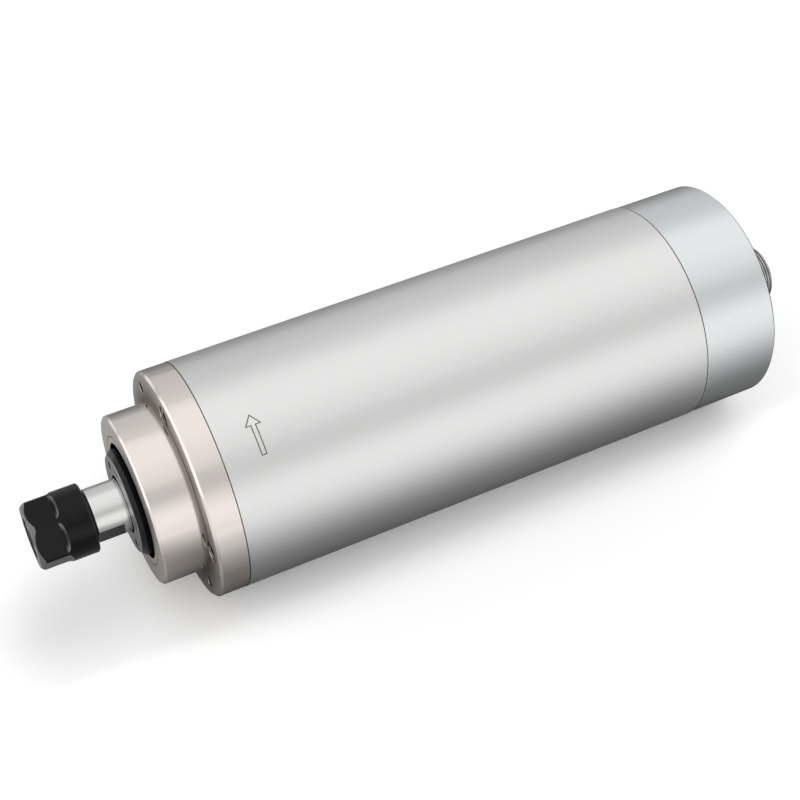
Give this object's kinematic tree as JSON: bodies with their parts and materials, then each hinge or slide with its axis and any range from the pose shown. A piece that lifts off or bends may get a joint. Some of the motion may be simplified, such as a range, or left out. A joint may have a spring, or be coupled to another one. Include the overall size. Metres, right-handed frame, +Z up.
{
  "type": "motor spindle",
  "caption": "Round water-cooled motor spindle with a flanged nose, a collet with its nut, and a rear cap with power socket and water fittings.",
  "frame": {"origin": "on the spindle axis, half way along the steel barrel", "axes": "+X along the axis to the rear cap, so the collet nut points to -X; +Z up as the spindle lies in the picture"},
  "size_m": [0.2788, 0.08, 0.08],
  "materials": {
    "stainless_barrel": "satin, drawn lengthwise",
    "nickel_flange": "polished, warm nickel tone",
    "cap_aluminium": "fine satin",
    "black_steel": "black oxide, semi-gloss",
    "ground_steel": "ground and polished",
    "bearing_steel": "polished",
    "nickel_brass": "bright nickel plate",
    "contact_gold": "plated contacts",
    "insert_plastic": "moulded, matt",
    "cage_plastic": "fabric-filled resin",
    "jacket_aluminium": "machined",
    "gasket_rubber": "matt",
    "lamination_steel": "stacked sheets",
    "copper_wire": "varnished copper",
    "lead_sheath": "silicone sheath"
  },
  "bodies": {
    "housing": {"barrel": "stainless_barrel", "front_flange": "nickel_flange", "flange_screws": "black_steel", "front_bearing_retainer": "nickel_flange", "front_outer_rings": "bearing_steel", "cooling_jacket": "jacket_aluminium", "jacket_gaskets": "gasket_rubber", "stator_core": "lamination_steel", "stator_windings": "copper_wire", "rear_bearing_plate": "jacket_aluminium", "rear_outer_ring": "bearing_steel", "preload_washer": "bearing_steel", "rear_cap": "cap_aluminium", "rear_cap_screws": "black_steel", "power_socket_shell": "nickel_brass", "power_socket_insert": "insert_plastic", "power_socket_pins": "contact_gold", "motor_lead": "lead_sheath", "water_inlet": "nickel_brass", "water_outlet": "nickel_brass"},
    "spindle": {"spindle_shaft": "ground_steel", "dust_ring": "black_steel", "front_inner_rings": "bearing_steel", "rear_inner_ring": "bearing_steel", "rotor_core": "lamination_steel", "rotor_end_rings": "jacket_aluminium", "rear_lock_nut": "black_steel"},
    "front_ball_set": {"front_balls": "bearing_steel", "front_cages": "cage_plastic"},
    "rear_ball_set": {"rear_balls": "bearing_steel", "rear_cage": "cage_plastic"},
    "collet": {"collet": "ground_steel"},
    "collet_nut": {"collet_nut": "black_steel"}
  },
  "joints": [
    {"name": "spindle_spin", "type": "hinge", "parent": "housing", "child": "spindle", "pos_m": [0, 0, 0], "axis": [1, 0, 0], "continuous": true},
    {"name": "front_ball_orbit", "type": "hinge", "parent": "housing", "child": "front_ball_set", "pos_m": [0, 0, 0], "axis": [1, 0, 0], "continuous": true},
    {"name": "rear_ball_orbit", "type": "hinge", "parent": "housing", "child": "rear_ball_set", "pos_m": [0, 0, 0], "axis": [1, 0, 0], "continuous": true},
    {"name": "collet_travel", "type": "slide", "parent": "spindle", "child": "collet", "axis": [-1, 0, 0], "range_m": [0, 0.012]},
    {"name": "nut_turn", "type": "hinge", "parent": "collet", "child": "collet_nut", "pos_m": [0, 0, 0], "axis": [-1, 0, 0], "range_deg": [0, 4320]}
  ],
  "couplings": [
    {"joint": "front_ball_orbit", "follows": "spindle_spin", "ratio": 0.4112},
    {"joint": "rear_ball_orbit", "follows": "spindle_spin", "ratio": 0.4106},
    {"joint": "collet_travel", "follows": "nut_turn", "m_per_rad": 0.00015915}
  ]
}
